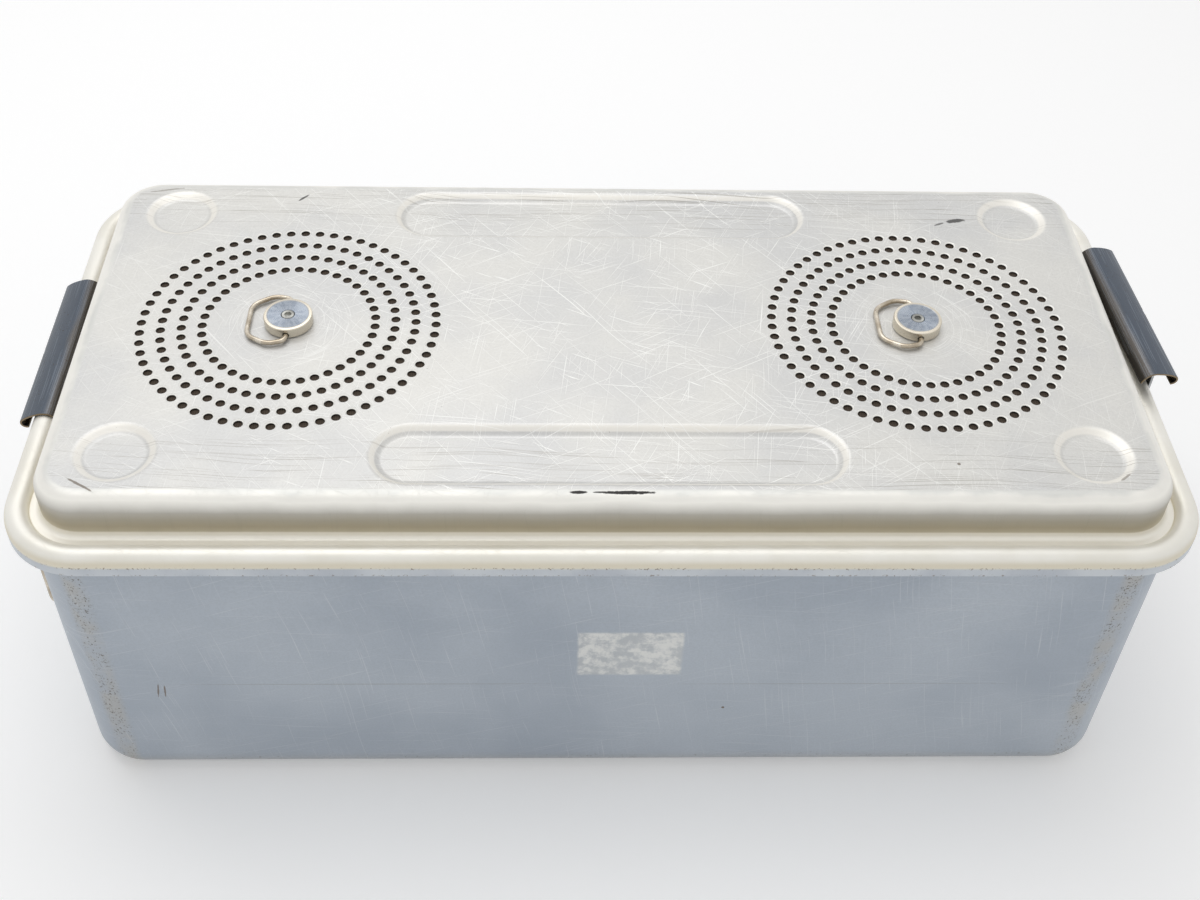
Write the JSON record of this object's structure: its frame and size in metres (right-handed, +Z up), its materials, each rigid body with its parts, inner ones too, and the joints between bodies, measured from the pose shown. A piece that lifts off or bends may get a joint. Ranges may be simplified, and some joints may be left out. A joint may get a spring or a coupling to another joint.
{
  "type": "sterilization container",
  "caption": "Closed aluminium container for steam sterilization: deep tub, vented lid with turn knobs and lifting rings, pull-up latch hooks and folding carrying handles.",
  "frame": {"origin": "middle of the tub's flat base", "axes": "+X along the container's length to the right-hand latch, +Y to the back, +Z up"},
  "size_m": [0.618, 0.297, 0.2258],
  "materials": {
    "tub_aluminium": "worn natural anodised",
    "lid_aluminium": "worn natural anodised, scratched",
    "retainer_aluminium": "natural anodised",
    "rivet_aluminium": "plain",
    "knob_steel": "turned",
    "screw_steel": "plain",
    "wire_steel": "drawn wire",
    "latch_steel": "plain sheet",
    "hook_steel": "heat darkened, satin",
    "silicone": "matt",
    "filter_paper": "dark woven filter",
    "grip_plastic": "matt moulded"
  },
  "bodies": {
    "tub": {"tub": "tub_aluminium", "left_latch_guide": "latch_steel", "left_latch_spring": "wire_steel", "left_handle_lug_near": "latch_steel", "left_handle_lug_far": "latch_steel", "left_guide_rivet_1": "rivet_aluminium", "left_guide_rivet_2": "rivet_aluminium", "left_guide_rivet_3": "rivet_aluminium", "left_guide_rivet_4": "rivet_aluminium", "left_lug_rivet_1": "rivet_aluminium", "left_lug_rivet_2": "rivet_aluminium", "right_latch_guide": "latch_steel", "right_latch_spring": "wire_steel", "right_handle_lug_near": "latch_steel", "right_handle_lug_far": "latch_steel", "right_guide_rivet_1": "rivet_aluminium", "right_guide_rivet_2": "rivet_aluminium", "right_guide_rivet_3": "rivet_aluminium", "right_guide_rivet_4": "rivet_aluminium", "right_lug_rivet_1": "rivet_aluminium", "right_lug_rivet_2": "rivet_aluminium"},
    "lid": {"lid": "lid_aluminium", "lid_seal": "silicone", "left_filter": "filter_paper", "left_filter_seal": "silicone", "left_retainer": "retainer_aluminium", "left_knob_washer": "wire_steel", "right_filter": "filter_paper", "right_filter_seal": "silicone", "right_retainer": "retainer_aluminium", "right_knob_washer": "wire_steel"},
    "left_knob": {"left_knob": "knob_steel", "left_knob_stud": "knob_steel", "left_knob_screw": "screw_steel"},
    "left_ring": {"left_knob_ring": "wire_steel"},
    "left_link": {"left_latch_link": "hook_steel"},
    "left_swivel": {"left_latch_swivel": "wire_steel"},
    "left_hook": {"left_latch_hook": "hook_steel"},
    "left_handle": {"left_handle": "wire_steel", "left_handle_grip": "grip_plastic"},
    "right_knob": {"right_knob": "knob_steel", "right_knob_stud": "knob_steel", "right_knob_screw": "screw_steel"},
    "right_ring": {"right_knob_ring": "wire_steel"},
    "right_link": {"right_latch_link": "hook_steel"},
    "right_swivel": {"right_latch_swivel": "wire_steel"},
    "right_hook": {"right_latch_hook": "hook_steel"},
    "right_handle": {"right_handle": "wire_steel", "right_handle_grip": "grip_plastic"}
  },
  "joints": [
    {"name": "lid_lift", "type": "slide", "parent": "tub", "child": "lid", "axis": [0, 0, 1], "range_m": [0, 0.0065]},
    {"name": "left_knob_turn", "type": "hinge", "parent": "lid", "child": "left_knob", "pos_m": [-0.17, 0, 0.2195], "axis": [0, 0, 1], "range_deg": [0, 90]},
    {"name": "left_ring_fold", "type": "hinge", "parent": "left_knob", "child": "left_ring", "pos_m": [-0.17, 0, 0.2219], "axis": [0, 1, 0], "range_deg": [0, 175]},
    {"name": "left_latch_lift", "type": "slide", "parent": "tub", "child": "left_link", "axis": [0, 0, 1], "range_m": [0, 0.014], "deforming": ["left_latch_spring"]},
    {"name": "left_hook_rock", "type": "hinge", "parent": "left_link", "child": "left_swivel", "pos_m": [-0.3036, 0.004, 0.193], "axis": [0.0293, 0.9598, -0.279], "range_deg": [0, 12.5]},
    {"name": "left_hook_flip", "type": "hinge", "parent": "left_swivel", "child": "left_hook", "pos_m": [-0.3036, 0.004, 0.193], "axis": [0, -1, 0], "range_deg": [0, 100]},
    {"name": "left_handle_swing", "type": "hinge", "parent": "tub", "child": "left_handle", "pos_m": [-0.2968, 0, 0.1635], "axis": [0, 1, 0], "range_deg": [0, 100]},
    {"name": "right_knob_turn", "type": "hinge", "parent": "lid", "child": "right_knob", "pos_m": [0.17, 0, 0.2195], "axis": [0, 0, 1], "range_deg": [0, 90]},
    {"name": "right_ring_fold", "type": "hinge", "parent": "right_knob", "child": "right_ring", "pos_m": [0.17, 0, 0.2219], "axis": [0, 1, 0], "range_deg": [0, 175]},
    {"name": "right_latch_lift", "type": "slide", "parent": "tub", "child": "right_link", "axis": [0, 0, 1], "range_m": [-0.014, 0], "deforming": ["right_latch_spring"]},
    {"name": "right_hook_rock", "type": "hinge", "parent": "right_link", "child": "right_swivel", "pos_m": [0.3036, 0.026, 0.207], "axis": [0.0293, -0.9598, 0.279], "range_deg": [-12.5, 0]},
    {"name": "right_hook_flip", "type": "hinge", "parent": "right_swivel", "child": "right_hook", "pos_m": [0.3036, 0.026, 0.207], "axis": [-0.0611, 0.9981, 0], "range_deg": [0, 100]},
    {"name": "right_handle_swing", "type": "hinge", "parent": "tub", "child": "right_handle", "pos_m": [0.2968, 0, 0.1635], "axis": [0, -1, 0], "range_deg": [0, 100]}
  ],
  "couplings": [
    {"joint": "left_hook_rock", "follows": "left_latch_lift", "rad_per_m": 15.58},
    {"joint": "left_hook_flip", "follows": "lid_lift", "rad_per_m": 268.5},
    {"joint": "right_hook_rock", "follows": "right_latch_lift", "rad_per_m": 15.58},
    {"joint": "right_hook_flip", "follows": "lid_lift", "rad_per_m": 268.5}
  ]
}
